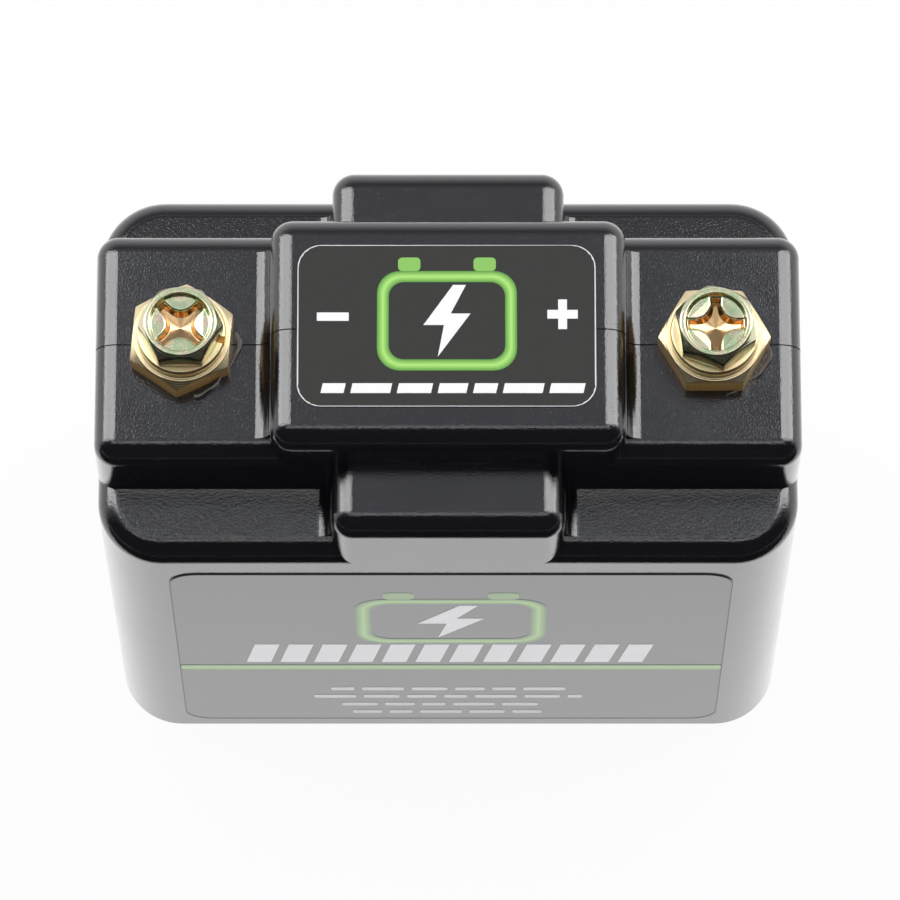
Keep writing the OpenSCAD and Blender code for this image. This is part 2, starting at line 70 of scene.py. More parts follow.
camera_data = bpy.data.cameras.new("photo_camera")
camera_data.lens = LENS
camera = bpy.data.objects.new("photo_camera", camera_data)
camera.location = CAMERA_PLACE
camera.rotation_euler = (math.radians(CAMERA_TILT_DEG), 0, 0)
bpy.context.scene.collection.objects.link(camera)
bpy.context.scene.camera = camera
print("camera looks", round(90 - CAMERA_TILT_DEG, 1), "degrees down, lens", LENS, "mm")

# %% [markdown]
# ## Helpers for materials
# Colours are written as sRGB hex values, and the shader needs them linear, so one function turns
# them. Another adds a node with its settings and its links, which keeps a material readable from top
# to bottom. The third starts a material from its Principled shader, with the values that are the same
# all over the surface set on the shader itself, and the fourth links what varies to that shader. The
# last turns a real size into a texture scale.

# %% Colours, nodes and materials
def linear(code):
    """Linear red, green, blue and alpha of an sRGB hex colour."""
    parts = [int(code[k:k + 2], 16) / 255 for k in (1, 3, 5)]
    return (*[p / 12.92 if p <= 0.04045 else ((p + 0.055) / 1.055) ** 2.4 for p in parts], 1.0)


def add_node(tree, kind, settings=None, links=None):
    """Adds a node. A setting in lower case is a property, any other one is an input socket."""
    node = tree.nodes.new(kind)
    for key, value in (settings or {}).items():
        if isinstance(key, str) and key[0].islower():
            setattr(node, key, value)
        else:
            node.inputs[key].default_value = value
    for key, source in (links or {}).items():
        tree.links.new(source, node.inputs[key])
    return node


def new_material(name, settings):
    """A material with one Principled shader. Gives the material, its nodes and the shader."""
    material = bpy.data.materials.new(name)
    material.use_nodes = True
    tree = material.node_tree
    tree.nodes.clear()
    shader = add_node(tree, "ShaderNodeBsdfPrincipled", settings)
    add_node(tree, "ShaderNodeOutputMaterial", None, {"Surface": shader.outputs["BSDF"]})
    return material, tree, shader


def feed(tree, shader, links):
    """Links outputs of nodes to sockets of the shader, by the sockets' names."""
    for key, source in links.items():
        tree.links.new(source, shader.inputs[key])


def per_mm(size_mm):
    """Texture scale at which one spot of a pattern is size_mm wide."""
    return 1 / (size_mm * MM)


print("black is", [round(v, 4) for v in linear("#141416")])

# %% [markdown]
# ## Case plastic
# Both halves are injection moulded ABS, coloured black right through. The mould was finely
# spark-eroded: from a step away the surface is glossy, and close up it has a fine peel that breaks
# every highlight into dots. The peel is bump from a noise of 0.24 mm, about the size of the dots in
# the photograph. A clear coat adds the wet look that ABS has at a low angle.
# The shoulders fall towards the front and the back by a few degrees of mould draft. The solid keeps
# them level, so the draft is given to the normal of their flat tops. Their peel is deeper too.

# %% Moulded ABS
PEEL_MM = 0.24
PEEL_HEIGHT_MM = 0.023
SHOULDER_PEEL = 1.6
WAVE_MM = 9.0
SMOOTHEST, ROUGHEST = 0.10, 0.22
LEVEL_FROM = 0.99
SHOULDER_TOP_MM = 82.0
SHOULDER_DRAFT = math.tan(math.radians(5.6))


def moulded_black_abs():
    material, tree, shader = new_material("moulded_black_abs", {
        "Base Color": linear("#121217"), "IOR": 1.55,
        "Coat Weight": 1.0, "Coat Roughness": 0.09, "Coat IOR": 1.5})
    place = add_node(tree, "ShaderNodeTexCoord").outputs["Object"]
    spot = add_node(tree, "ShaderNodeSeparateXYZ", None, {0: place})
    facing = add_node(tree, "ShaderNodeTexCoord").outputs["Normal"]
    upward = add_node(tree, "ShaderNodeSeparateXYZ", None, {0: facing})
    level = add_node(tree, "ShaderNodeMath", {"operation": "GREATER_THAN", 1: LEVEL_FROM},
                     {0: upward.outputs["Z"]})
    below = add_node(tree, "ShaderNodeMath", {"operation": "LESS_THAN", 1: SHOULDER_TOP_MM * MM},
                     {0: spot.outputs["Z"]})
    shoulder = add_node(tree, "ShaderNodeMath", {"operation": "MULTIPLY"},
                        {0: level.outputs[0], 1: below.outputs[0]})
    side = add_node(tree, "ShaderNodeMath", {"operation": "SIGN"}, {0: spot.outputs["Y"]})
    lean = add_node(tree, "ShaderNodeMath", {"operation": "MULTIPLY", 1: SHOULDER_DRAFT},
                    {0: side.outputs[0]})
    lean = add_node(tree, "ShaderNodeMath", {"operation": "MULTIPLY"},
                    {0: lean.outputs[0], 1: shoulder.outputs[0]})
    lean = add_node(tree, "ShaderNodeCombineXYZ", None, {"Y": lean.outputs[0]})
    drafted = add_node(tree, "ShaderNodeVectorMath", {"operation": "ADD"}, {0: facing, 1: lean.outputs[0]})
    drafted = add_node(tree, "ShaderNodeVectorMath", {"operation": "NORMALIZE"}, {0: drafted.outputs[0]})
    peel = add_node(tree, "ShaderNodeTexNoise", {"Scale": per_mm(PEEL_MM), "Detail": 1.0}, {"Vector": place})
    wave = add_node(tree, "ShaderNodeTexNoise", {"Scale": per_mm(WAVE_MM), "Detail": 2.0}, {"Vector": place})
    rough = add_node(tree, "ShaderNodeMapRange", {"To Min": SMOOTHEST, "To Max": ROUGHEST},
                     {"Value": wave.outputs["Fac"]})
    gain = add_node(tree, "ShaderNodeMapRange", {"To Min": 1.0, "To Max": SHOULDER_PEEL},
                    {"Value": shoulder.outputs[0]})
    height = add_node(tree, "ShaderNodeMath", {"operation": "MULTIPLY"},
                      {0: peel.outputs["Fac"], 1: gain.outputs["Result"]})
    bump = add_node(tree, "ShaderNodeBump", {"Strength": 1.0, "Distance": PEEL_HEIGHT_MM * MM},
                    {"Height": height.outputs[0], "Normal": drafted.outputs[0]})
    feed(tree, shader, {"Roughness": rough.outputs["Result"], "Normal": bump.outputs["Normal"],
                        "Coat Normal": bump.outputs["Normal"]})
    return material


case_plastic = moulded_black_abs()
print("case plastic: peel of", PEEL_MM, "mm")

# %% [markdown]
# ## Labels and inks
# The labels are printed vinyl film with a clear laminate. The film is dark grey, warm on the top label
# and cool on the front one, with a faint screen grain. The inks are flat: white, and a green that is
# lighter along the middle of each line. That share across a line is kept on the mesh as an
# attribute, so the ink can read it anywhere. The front label is the glossier one.

# %% Vinyl and inks
SCREEN_MM = 0.35
SCREEN_HEIGHT_MM = 0.01
SCREEN_DARK, SCREEN_LIGHT = 0.8, 1.2
LAMINATE_ROUGHNESS = 0.06
SHARE = "share_across"


def printed_vinyl(name, code, roughness, coat, painted_top_edge_code=None):
    material, tree, shader = new_material(name, {
        "Roughness": roughness, "IOR": 1.5, "Coat Weight": coat, "Coat Roughness": LAMINATE_ROUGHNESS})
    place = add_node(tree, "ShaderNodeTexCoord").outputs["Object"]
    grain = add_node(tree, "ShaderNodeTexNoise", {"Scale": per_mm(SCREEN_MM), "Detail": 3.0},
                     {"Vector": place})
    shade = add_node(tree, "ShaderNodeMapRange", {"To Min": SCREEN_DARK, "To Max": SCREEN_LIGHT},
                     {"Value": grain.outputs["Fac"]})
    colour = add_node(tree, "ShaderNodeMix", {"data_type": "RGBA", "blend_type": "MULTIPLY", 0: 1.0,
                                              6: linear(code)}, {7: shade.outputs["Result"]})
    if painted_top_edge_code:
        # Painted highlight: the upward-facing cut edge of an upright label is made paler, for the light it
        # shows from above
        facing = add_node(tree, "ShaderNodeTexCoord").outputs["Normal"]
        upward = add_node(tree, "ShaderNodeSeparateXYZ", None, {0: facing})
        cut = add_node(tree, "ShaderNodeMath", {"operation": "GREATER_THAN", 1: 0.5},
                       {0: upward.outputs["Z"]})
        colour = add_node(tree, "ShaderNodeMix", {"data_type": "RGBA", 7: linear(painted_top_edge_code)},
                          {0: cut.outputs[0], 6: colour.outputs[2]})
    bump = add_node(tree, "ShaderNodeBump", {"Strength": 0.3, "Distance": SCREEN_HEIGHT_MM * MM},
                    {"Height": grain.outputs["Fac"]})
    feed(tree, shader, {"Base Color": colour.outputs[2], "Normal": bump.outputs["Normal"]})
    return material


def screen_ink(name, edge_code, middle_code, coat):
    material, tree, shader = new_material(name, {"Roughness": 0.4, "IOR": 1.5, "Coat Weight": coat,
                                                 "Coat Roughness": LAMINATE_ROUGHNESS})
    share = add_node(tree, "ShaderNodeAttribute", {"attribute_name": SHARE}).outputs["Fac"]
    colour = add_node(tree, "ShaderNodeMix", {"data_type": "RGBA", 6: linear(edge_code),
                                              7: linear(middle_code)}, {0: share})
    feed(tree, shader, {"Base Color": colour.outputs[2]})
    return material


top_vinyl = printed_vinyl("top_label_vinyl", "#1b1b16", 0.5, 0.15)
# The front label's upward-facing edge gets a painted highlight colour
front_vinyl = printed_vinyl("front_label_vinyl", "#1b1c20", 0.3, 1.0, "#5a5b60")
white_ink = screen_ink("white_ink", "#c4c4c4", "#ffffff", 0.15)
green_ink = screen_ink("green_ink", "#4f9a2e", "#b4ee78", 0.3)
front_white = screen_ink("front_white_ink", "#c4c4c8", "#f4f4f8", 1.0)
front_green = screen_ink("front_green_ink", "#2f6a22", "#a8dc74", 1.0)
# Painted shade: a dark line for the shade at the front label's cut edge
painted_edge_shade_ink = screen_ink("painted_edge_shade_ink", "#0c0c0d", "#101011", 0.5)
print("inks:", white_ink.name, green_ink.name, front_white.name, front_green.name)

# %% [markdown]
# ## Turned brass
# The terminals are free-cutting brass turned on a lathe: fine rings round the axis, and cloudy
# handling marks. The flats of the hexagon are the drawn skin of the bar: its brown oxide scatters a
# share of the light, so there the metal is darker and partly matt. The normal tells the two apart:
# on the flats it is level, and on the turned face it points up. A metal keeps the default IOR.

# %% Turned brass
TURNING_MM = 0.25
TURNING_HEIGHT_MM = 0.016
CLOUD_MM = 2.5
SKIN_METALLIC = 0.5
TURNED_FROM = 0.4


def turned_brass():
    material, tree, shader = new_material("turned_brass", {})
    place = add_node(tree, "ShaderNodeTexCoord").outputs["Object"]
    facing = add_node(tree, "ShaderNodeTexCoord").outputs["Normal"]
    upward = add_node(tree, "ShaderNodeSeparateXYZ", None, {0: facing})
    slope = add_node(tree, "ShaderNodeMath", {"operation": "ABSOLUTE"}, {0: upward.outputs["Z"]})
    turned = add_node(tree, "ShaderNodeMapRange", {"From Max": TURNED_FROM}, {"Value": slope.outputs[0]})
    metal = add_node(tree, "ShaderNodeMapRange", {"To Min": SKIN_METALLIC, "To Max": 1.0},
                     {"Value": turned.outputs["Result"]})
    # The wave texture repeats every 2 pi / 20 of its scaled length
    rings = add_node(tree, "ShaderNodeTexWave", {"wave_type": "RINGS", "rings_direction": "Z",
                                                 "Scale": per_mm(TURNING_MM) * 2 * math.pi / 20,
                                                 "Distortion": 0.6, "Detail": 1.0}, {"Vector": place})
    cloud = add_node(tree, "ShaderNodeTexNoise", {"Scale": per_mm(CLOUD_MM), "Detail": 4.0},
                     {"Vector": place})
    colour = add_node(tree, "ShaderNodeMix", {"data_type": "RGBA", 6: linear("#e8d09e"),
                                              7: linear("#f6e7c4")}, {0: cloud.outputs["Fac"]})
    colour = add_node(tree, "ShaderNodeMix", {"data_type": "RGBA", 6: linear("#c69f60")},
                      {0: turned.outputs["Result"], 7: colour.outputs[2]})
    rough = add_node(tree, "ShaderNodeMapRange", {"To Min": 0.24, "To Max": 0.42},
                     {"Value": cloud.outputs["Fac"]})
    bump = add_node(tree, "ShaderNodeBump", {"Strength": 1.0, "Distance": TURNING_HEIGHT_MM * MM},
                    {"Height": rings.outputs["Fac"]})
    feed(tree, shader, {"Base Color": colour.outputs[2], "Metallic": metal.outputs["Result"],
                        "Roughness": rough.outputs["Result"], "Normal": bump.outputs["Normal"]})
    return material


brass = turned_brass()
print("brass: rings of", TURNING_MM, "mm")

# %% [markdown]
# ## Yellow zinc plating
# The bolts and washers are steel, plated with zinc and dipped in a yellow chromate. The film is
# clear, and its colour shifts between straw, green and rose with its thickness, so a slow noise runs
# through those three. A fine one gives the crystals of the zinc in roughness and bump. Deep in the
# cross recess the colour is painted amber: painted light, for the light that bounces between its walls.

# %% Yellow zinc plating
RECESS_REACH_MM = 3.9
RECESS_FLOOR_MM = 3.2
NO_RECESS_MM = 50
PAINTED_BOUNCE_FADE_MM = 0.3
FILM_SPOT_MM = 2.2
GREEN_AT, STRAW_AT, ROSE_AT = 0.36, 0.5, 0.66
CRYSTAL_MM = 0.4
CRYSTAL_HEIGHT_MM = 0.01


def yellow_zinc(name, green, straw, rose, rough_low, rough_high, painted_bounce_below_mm):
    material, tree, shader = new_material(name, {"Metallic": 1.0})
    place = add_node(tree, "ShaderNodeTexCoord").outputs["Object"]
    spot = add_node(tree, "ShaderNodeSeparateXYZ", None, {0: place})
    flat = add_node(tree, "ShaderNodeVectorMath", {"operation": "MULTIPLY", 1: (1, 1, 0)}, {0: place})
    reach = add_node(tree, "ShaderNodeVectorMath", {"operation": "LENGTH"}, {0: flat.outputs[0]})
    # Painted bounce light: amber within the rim, below the given depth and above the recess floor
    within = add_node(tree, "ShaderNodeMath", {"operation": "LESS_THAN", 1: RECESS_REACH_MM * MM},
                      {0: reach.outputs["Value"]})
    deep = add_node(tree, "ShaderNodeMapRange", {"From Min": -painted_bounce_below_mm * MM,
                                                 "From Max": -(painted_bounce_below_mm + PAINTED_BOUNCE_FADE_MM) * MM},
                    {"Value": spot.outputs["Z"]})
    above = add_node(tree, "ShaderNodeMath", {"operation": "GREATER_THAN", 1: -RECESS_FLOOR_MM * MM},
                     {0: spot.outputs["Z"]})
    painted_bounce = add_node(tree, "ShaderNodeMath", {"operation": "MULTIPLY"},
                     {0: within.outputs[0], 1: deep.outputs[0]})
    painted_bounce = add_node(tree, "ShaderNodeMath", {"operation": "MULTIPLY"},
                     {0: painted_bounce.outputs[0], 1: above.outputs[0]})
    film = add_node(tree, "ShaderNodeTexNoise", {"Scale": per_mm(FILM_SPOT_MM), "Detail": 3.0},
                    {"Vector": place})
    spots = add_node(tree, "ShaderNodeTexNoise", {"Scale": per_mm(CRYSTAL_MM), "Detail": 2.0},
                     {"Vector": place})
    ramp = add_node(tree, "ShaderNodeValToRGB", None, {"Fac": film.outputs["Fac"]})
    ramp.color_ramp.elements[0].position = GREEN_AT
    ramp.color_ramp.elements[0].color = linear(green)
    ramp.color_ramp.elements[1].position = STRAW_AT
    ramp.color_ramp.elements[1].color = linear(straw)
    ramp.color_ramp.elements.new(ROSE_AT).color = linear(rose)
    rough = add_node(tree, "ShaderNodeMapRange", {"To Min": rough_low, "To Max": rough_high},
                     {"Value": spots.outputs["Fac"]})
    bump = add_node(tree, "ShaderNodeBump", {"Strength": 0.25, "Distance": CRYSTAL_HEIGHT_MM * MM},
                    {"Height": spots.outputs["Fac"]})
    # Painted bounce light: the recess is tinted amber for the light reflected between its walls
    colour = add_node(tree, "ShaderNodeMix", {"data_type": "RGBA", 7: linear("#d8b384")},
                      {0: painted_bounce.outputs[0], 6: ramp.outputs["Color"]})
    feed(tree, shader, {"Base Color": colour.outputs[2], "Roughness": rough.outputs["Result"],
                        "Normal": bump.outputs["Normal"]})
    return material


bolt_zinc = yellow_zinc("bolt_yellow_zinc", "#c9dcb0", "#e4e2bc", "#ecd6c0", 0.14, 0.28, 1.1)
washer_zinc = yellow_zinc("washer_yellow_zinc", "#e6e2b0", "#efdcaa", "#f2d3a8", 0.24, 0.4, NO_RECESS_MM)
print("plating:", bolt_zinc.name, washer_zinc.name)

# %% [markdown]
# ## Lofting
# Everything turned, stamped, swept or printed here is a stack of rings, each with as many points as
# the next. One function joins neighbouring rings with quads. A stack that doesn't run back to its
# start is closed by a face at each end, so every piece is a closed skin.

# %% Loft
def mesh_piece(name, points, faces, material, centre=(0, 0, 0), sharp_deg=None):
    """A smooth-shaded closed mesh at centre; points are in metres about that centre."""
    mesh = bpy.data.meshes.new(name)
    mesh.from_pydata([tuple(p) for p in points], [], faces)
    skin = bmesh.new()
    skin.from_mesh(mesh)
    bmesh.ops.recalc_face_normals(skin, faces=skin.faces)
    skin.to_mesh(mesh)
    skin.free()
    mesh.polygons.foreach_set("use_smooth", [True] * len(mesh.polygons))
    if sharp_deg is not None:
        mesh.set_sharp_from_angle(angle=math.radians(sharp_deg))
    mesh.materials.append(material)
    piece = bpy.data.objects.new(name, mesh)
    piece.location = centre
    bpy.context.scene.collection.objects.link(piece)
    return piece


def loft(name, rings, material, centre=(0, 0, 0), back_to_start=False, sharp_deg=None):
    """Joins rings of points with quads. back_to_start joins the last ring to the first."""
    count = len(rings[0])
    faces = []
    for r in range(len(rings) if back_to_start else len(rings) - 1):
        low = r * count
        high = (r + 1) % len(rings) * count
        for s in range(count):
            t = (s + 1) % count
            faces.append((low + s, low + t, high + t, high + s))
    if not back_to_start:
        last = (len(rings) - 1) * count
        faces.append(tuple(range(count)))
        faces.append(tuple(range(last, last + count)))
    return mesh_piece(name, np.concatenate(rings), faces, material, centre, sharp_deg)


def ring(angles, reach, height):
    """Points in metres at polar angles; reach and height are in millimetres, each one or many."""
    reach = np.broadcast_to(reach, angles.shape)
    height = np.broadcast_to(height, angles.shape)
    return np.stack([reach * np.cos(angles), reach * np.sin(angles), height], 1) * MM


def round_angles(count):
    return np.arange(count) * 2 * math.pi / count


CORNER_POWER = 110


def hexagon(angles, across_flats, turn_deg):
    """Distance from the axis to a hexagon whose corners are slightly rounded; a corner is at turn_deg."""
    total = np.zeros_like(angles)
    for k in range(6):
        facing = np.cos(angles - math.radians(turn_deg + 30 + 60 * k))
        total += np.clip(facing, 0, None) ** CORNER_POWER
    return across_flats / 2 / total ** (1 / CORNER_POWER)


def axis_of(node):
    """Place of a round node's axis, and the node's lowest and highest height, in metres."""
    low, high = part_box(node)
    return (low.x + high.x) / 2, (low.y + high.y) / 2, low.z, high.z


print("a 10 mm hexagon is", round(hexagon(round_angles(360), 10, 0).max() * 2, 2), "mm over its corners")

# %% [markdown]
# ## The bolts
# A bolt is cold-formed: a hexagon with a turned chamfer, a round rim, a dish inside the rim and a
# cross recess punched into the dish. The punch draws the metal down between the arms, which leaves
# four leaf-shaped facets. All of that is one height for each point of a polar grid, so the head is a
# loft of rings. The thread is a loft too: the radius follows a ridge that climbs 1 mm a turn.

# %% Bolt head heights
HEAD_AF = 10.0
RIM_REACH = 4.9
RIM_DROP = 0.1
DISH_REACH = 3.92
DISH_DEPTH = 0.85
CHAMFER_SLOPE = math.tan(math.radians(58))
ARM_HALF = 0.68
ARM_TIP = 3.7
ARM_ROUND = 2.2
TIP_DEPTH = 0.8
MID_DEPTH = 1.75
WALL_SLOPE = 3.2
LEAF_SLOPE = 0.07
EDGE_DROP = 0.12
EDGE_WIDTH = 0.28
RIM_PROFILE = ((DISH_REACH - 0.06, -DISH_DEPTH), (DISH_REACH + 0.04, -DISH_DEPTH + 0.05), (4.12, -0.12),
               (4.18, -0.03), (4.3, 0), (4.72, 0), (RIM_REACH, -RIM_DROP))


def recess_depth(x, y):
    """How far the cross recess and its leaves go below the dish floor, in millimetres."""
    along = np.maximum(np.abs(x), np.abs(y))
    aside = np.minimum(np.abs(x), np.abs(y))
    middle = ARM_HALF + ARM_ROUND
    corner = np.hypot(along - middle, aside - middle) - ARM_ROUND
    inside = np.minimum(np.where(along < middle, corner, ARM_HALF - aside), ARM_TIP - along)
    floor = MID_DEPTH + (TIP_DEPTH - MID_DEPTH) * np.clip(np.hypot(x, y) / ARM_TIP, 0, 1)
    punched = np.minimum(np.clip(inside, 0, None) * WALL_SLOPE, floor)
    chord = (ARM_HALF + ARM_TIP) / math.sqrt(2)
    leaf = LEAF_SLOPE * np.clip(chord - (along + aside) / math.sqrt(2), 0, 1)
    edge = EDGE_DROP * np.clip(1 + inside / EDGE_WIDTH, 0, 1) ** 2
    return punched + leaf + edge


def head_height(reach, angles, cross_turn_deg):
    """Height of the head's top against its rim, in millimetres, out to the rim's reach."""
    turn = math.radians(cross_turn_deg)
    x, y = reach * np.cos(angles - turn), reach * np.sin(angles - turn)
    dish = np.interp(reach, *zip(*RIM_PROFILE))
    return dish - recess_depth(x, y) * (reach < DISH_REACH)


print("the recess is", round(float(recess_depth(np.array(0.0), np.array(0.0))), 2), "mm deep in the middle")

# %% Bolts
THREAD_D = 6.0
THREAD_PITCH = 1.0
THREAD_DEPTH = 0.55
POINT_MM = 0.8
BOLT_POINTS = 288
FACE_RINGS = 96
HEAD_TURN = {"negative": 0, "positive": -20}
CROSS_TURN = {"negative": 45, "positive": 0}


def make_bolt(side):
    x, y, low, high = axis_of(side + "_bolt")
    length = (high - low) / MM
    head = (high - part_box(side + "_washer")[1].z) / MM
    angles = round_angles(BOLT_POINTS)
    outline = hexagon(angles, HEAD_AF, HEAD_TURN[side])
    rings = [ring(angles, reach, head_height(np.full_like(angles, reach), angles, CROSS_TURN[side]))
             for reach in np.linspace(0.03, RIM_REACH, FACE_RINGS)]
    top_of_flat = -RIM_DROP - (outline - RIM_REACH) * CHAMFER_SLOPE
    for share in np.linspace(0.15, 1, 8):
        rings.append(ring(angles, RIM_REACH + (outline - RIM_REACH) * share,
                          -RIM_DROP + (top_of_flat + RIM_DROP) * share))
    for share in (0.04, 0.35, 0.7, 0.97):
        rings.append(ring(angles, outline + 0.03, top_of_flat + (-head - top_of_flat) * share))
    rings.append(ring(angles, outline - 0.12, -head + 0.02))
    rings.append(ring(angles, THREAD_D / 2 + 0.3, -head + 0.02))
    for depth in np.arange(head + 0.3, length - POINT_MM, 0.1):
        climb = (depth / THREAD_PITCH + angles / (2 * math.pi)) % 1
        ridge = np.abs(climb - 0.5) * 2
        rings.append(ring(angles, THREAD_D / 2 - 0.02 - THREAD_DEPTH * (1 - ridge), -depth))
    rings.append(ring(angles, THREAD_D / 2 - POINT_MM, -length))
    rings.append(ring(angles, 0.05, -length))
    bolt = loft(side + "_bolt_formed", rings, bolt_zinc, (x, y, high))
    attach(bolt, side + "_bolt")
    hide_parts(side + "_bolt")
    return bolt


for side in SIDES:
    print(side, "bolt:", len(make_bolt(side).data.vertices), "points")

# %% [markdown]
# ## The lock washers
# A split lock washer is square wire, coiled for one turn and cut at a slant. It is swept here as a
# rounded section round an arc that stops short of a full turn. The cut leans because each point of
# the section is turned a little further the higher it lies.

# %% Lock washers
WASHER_OD = 12.0
WASHER_SPLIT_MM = 1.1
WASHER_LEAN_DEG = 10.0
WASHER_EDGE_MM = 0.28
WASHER_STEPS = 128
WASHER_GAP_DEG = {"negative": -17.0, "positive": 100.0}


def rounded_section(inner, outer, low, high, radius, steps=5):
    """Corner-rounded rectangle as rows of (reach, height), in millimetres."""
    points = []
    for x, z, start in ((outer - radius, high - radius, 0), (inner + radius, high - radius, 90),
                        (inner + radius, low + radius, 180), (outer - radius, low + radius, 270)):
        for k in range(steps):
            a = math.radians(start + 90 * k / (steps - 1))
            points.append((x + radius * math.cos(a), z + radius * math.sin(a)))
    return np.array(points)


def make_washer(side):
    x, y, _, _ = axis_of(side + "_bolt")
    _, _, low, high = axis_of(side + "_washer")
    thick = (high - low) / MM
    reach, height = rounded_section(THREAD_D / 2 + 0.15, WASHER_OD / 2, 0, thick, WASHER_EDGE_MM).T
    half_gap = WASHER_SPLIT_MM / WASHER_OD
    lean = math.radians(WASHER_LEAN_DEG) * (height / thick - 0.5)
    rings = []
    for angle in np.linspace(half_gap, 2 * math.pi - half_gap, WASHER_STEPS):
        turned = angle + lean + math.radians(WASHER_GAP_DEG[side])
        rings.append(ring(turned, reach, height))
    washer = loft(side + "_washer_coiled", rings, washer_zinc, (x, y, low), sharp_deg=40)
    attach(washer, side + "_washer")
    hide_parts(side + "_washer")
    return washer


for side in SIDES:
    print(make_washer(side).name, "split", WASHER_SPLIT_MM, "mm")

# %% [markdown]
# ## The brass terminals
# A terminal is one turned bar: a hexagon on top with its corners turned off at 30 degrees, a neck, a
# flange that the case holds, a barrel and a stud, with a threaded hole from the top. Each edge has
# a chamfer of about 0.1 mm, which catches the light as on the real piece.

# %% Terminals
HEX_AF = 13.3
HEX_TURN = {"negative": 25.3, "positive": 0}
HEX_STAND = 3.8
NECK_D = 10.0
NECK_LEN = 2.5
FLANGE_AF = 13.0
FLANGE_T = 3.0
BARREL_D = 9.0
BARREL_LEN = 6.4
STUD_D = 4.0
STUD_LEN = 5.0
HOLE_DEPTH = 13.4
EDGE_MM = 0.1
TURNED_SLOPE = math.tan(math.radians(30))
TERMINAL_POINTS = 240


def make_terminal(side):
    x, y, _, top = axis_of(side + "_terminal")
    angles = round_angles(TERMINAL_POINTS)
    outline = hexagon(angles, HEX_AF, HEX_TURN[side])
    flange = hexagon(angles, FLANGE_AF, 0)
    flat_reach = HEX_AF / 2 - 0.12
    hole = THREAD_D / 2 + 0.05
    drop = (outline - flat_reach) * TURNED_SLOPE
    rings = [ring(angles, 0.05, -HOLE_DEPTH), ring(angles, hole, -HOLE_DEPTH), ring(angles, hole, -0.4),
             ring(angles, hole + 0.4, 0)]
    rings += [ring(angles, reach, 0) for reach in np.linspace(hole + 0.8, flat_reach, 6)]
    rings += [ring(angles, flat_reach + (outline - EDGE_MM / 2 - flat_reach) * share, -drop * share)
              for share in (0.5, 1)]
    rings += [ring(angles, outline, -drop - EDGE_MM), ring(angles, outline, -HEX_STAND / 2),
              ring(angles, outline, -HEX_STAND + EDGE_MM), ring(angles, outline - EDGE_MM, -HEX_STAND),
              ring(angles, NECK_D / 2, -HEX_STAND)]
    depth = HEX_STAND + NECK_LEN
    rings += [ring(angles, NECK_D / 2, -depth), ring(angles, flange, -depth),
              ring(angles, flange, -depth - FLANGE_T)]
    depth += FLANGE_T
    rings += [ring(angles, BARREL_D / 2, -depth), ring(angles, BARREL_D / 2, -depth - BARREL_LEN)]
    depth += BARREL_LEN
    rings += [ring(angles, STUD_D / 2, -depth), ring(angles, STUD_D / 2, -depth - STUD_LEN + EDGE_MM),
              ring(angles, STUD_D / 2 - EDGE_MM, -depth - STUD_LEN), ring(angles, 0.05, -depth - STUD_LEN)]
    terminal = loft(side + "_terminal_turned", rings, brass, (x, y, top), sharp_deg=20)
    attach(terminal, "battery")
    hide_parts(side + "_terminal")
    return terminal


for side in SIDES:
    print(make_terminal(side).name, HEX_AF, "mm across flats")

# %% [markdown]
# ## The clear adhesive
# The terminals are potted from inside, and on both a thin film of clear adhesive has crept out on the
# right, towards the front. It stands up as a wavy skin with a bead at its foot. It is swept along an
# arc, and its height and reach wander by a few sines, so that each run gives the same film.

# %% Clear adhesive
FILM_FROM_DEG = -78
FILM_TO_DEG = 14
FILM_REACH = 7.2
FILM_STEPS = 60
SKIN_MM = 0.5
SKIN_HEIGHT_MM = 0.03


def clear_adhesive():
    material, tree, shader = new_material("clear_cured_adhesive", {
        "Base Color": linear("#e4e2dc"), "Transmission Weight": 0.7, "IOR": 1.3})
    place = add_node(tree, "ShaderNodeTexCoord").outputs["Object"]
    skin = add_node(tree, "ShaderNodeTexNoise", {"Scale": per_mm(SKIN_MM), "Detail": 2.0},
                    {"Vector": place})
    rough = add_node(tree, "ShaderNodeMapRange", {"To Min": 0.02, "To Max": 0.15},
                     {"Value": skin.outputs["Fac"]})
    bump = add_node(tree, "ShaderNodeBump", {"Strength": 0.5, "Distance": SKIN_HEIGHT_MM * MM},
                    {"Height": skin.outputs["Fac"]})
    feed(tree, shader, {"Roughness": rough.outputs["Result"], "Normal": bump.outputs["Normal"]})
    return material


def make_film(side, phase):
    x, y, _, _ = axis_of(side + "_bolt")
    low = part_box(side + "_sealant")[0].z
    rings = []
    for share in np.linspace(0, 1, FILM_STEPS):
        angle = math.radians(FILM_FROM_DEG + (FILM_TO_DEG - FILM_FROM_DEG) * share)
        # Amplitudes are in millimetres, and no two sines keep the same pace
        fade = math.sin(math.pi * share) ** 0.5
        wander = 0.28 * math.sin(9 * share + phase) + 0.12 * math.sin(23 * share + 2 * phase)
        reach = FILM_REACH + wander
        height = 0.15 + fade * (0.9 + 0.5 * math.sin(6 * share + phase) + 0.15 * math.sin(31 * share))
        lean = 0.3 + 0.2 * math.sin(7 * share + 1 + phase)
        bead = 0.08 + 0.1 * fade
        section = [(-bead, 0), (-bead, 0.05), (-0.06, 0.12), (lean - 0.04, height), (lean + 0.04, height),
                   (0.06, 0.12), (bead, 0.05), (bead, 0)]
        rings.append(np.array([((reach + dr) * math.cos(angle), (reach + dr) * math.sin(angle), dz)
                               for dr, dz in section]) * MM)
    film = loft(side + "_adhesive_film", rings, film_finish, (x, y, low))
    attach(film, "battery")
    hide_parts(side + "_sealant")
    return film


film_finish = clear_adhesive()
for side, phase in (("negative", 0.4), ("positive", 2.1)):
    print(make_film(side, phase).name)

# %% [markdown]
# ## The print on the labels
# Both labels carry plain shapes: a battery symbol with a bolt of lightning, plus and minus signs, bars
# and dashes. An image would be the usual way. Here each shape is a thin skin of ink of its own,
# 0.03 mm proud of its label, so the print stays sharp at any distance and needs no picture.

# %% Ink shapes
INK_T = 0.03
INK_SINK = 0.02


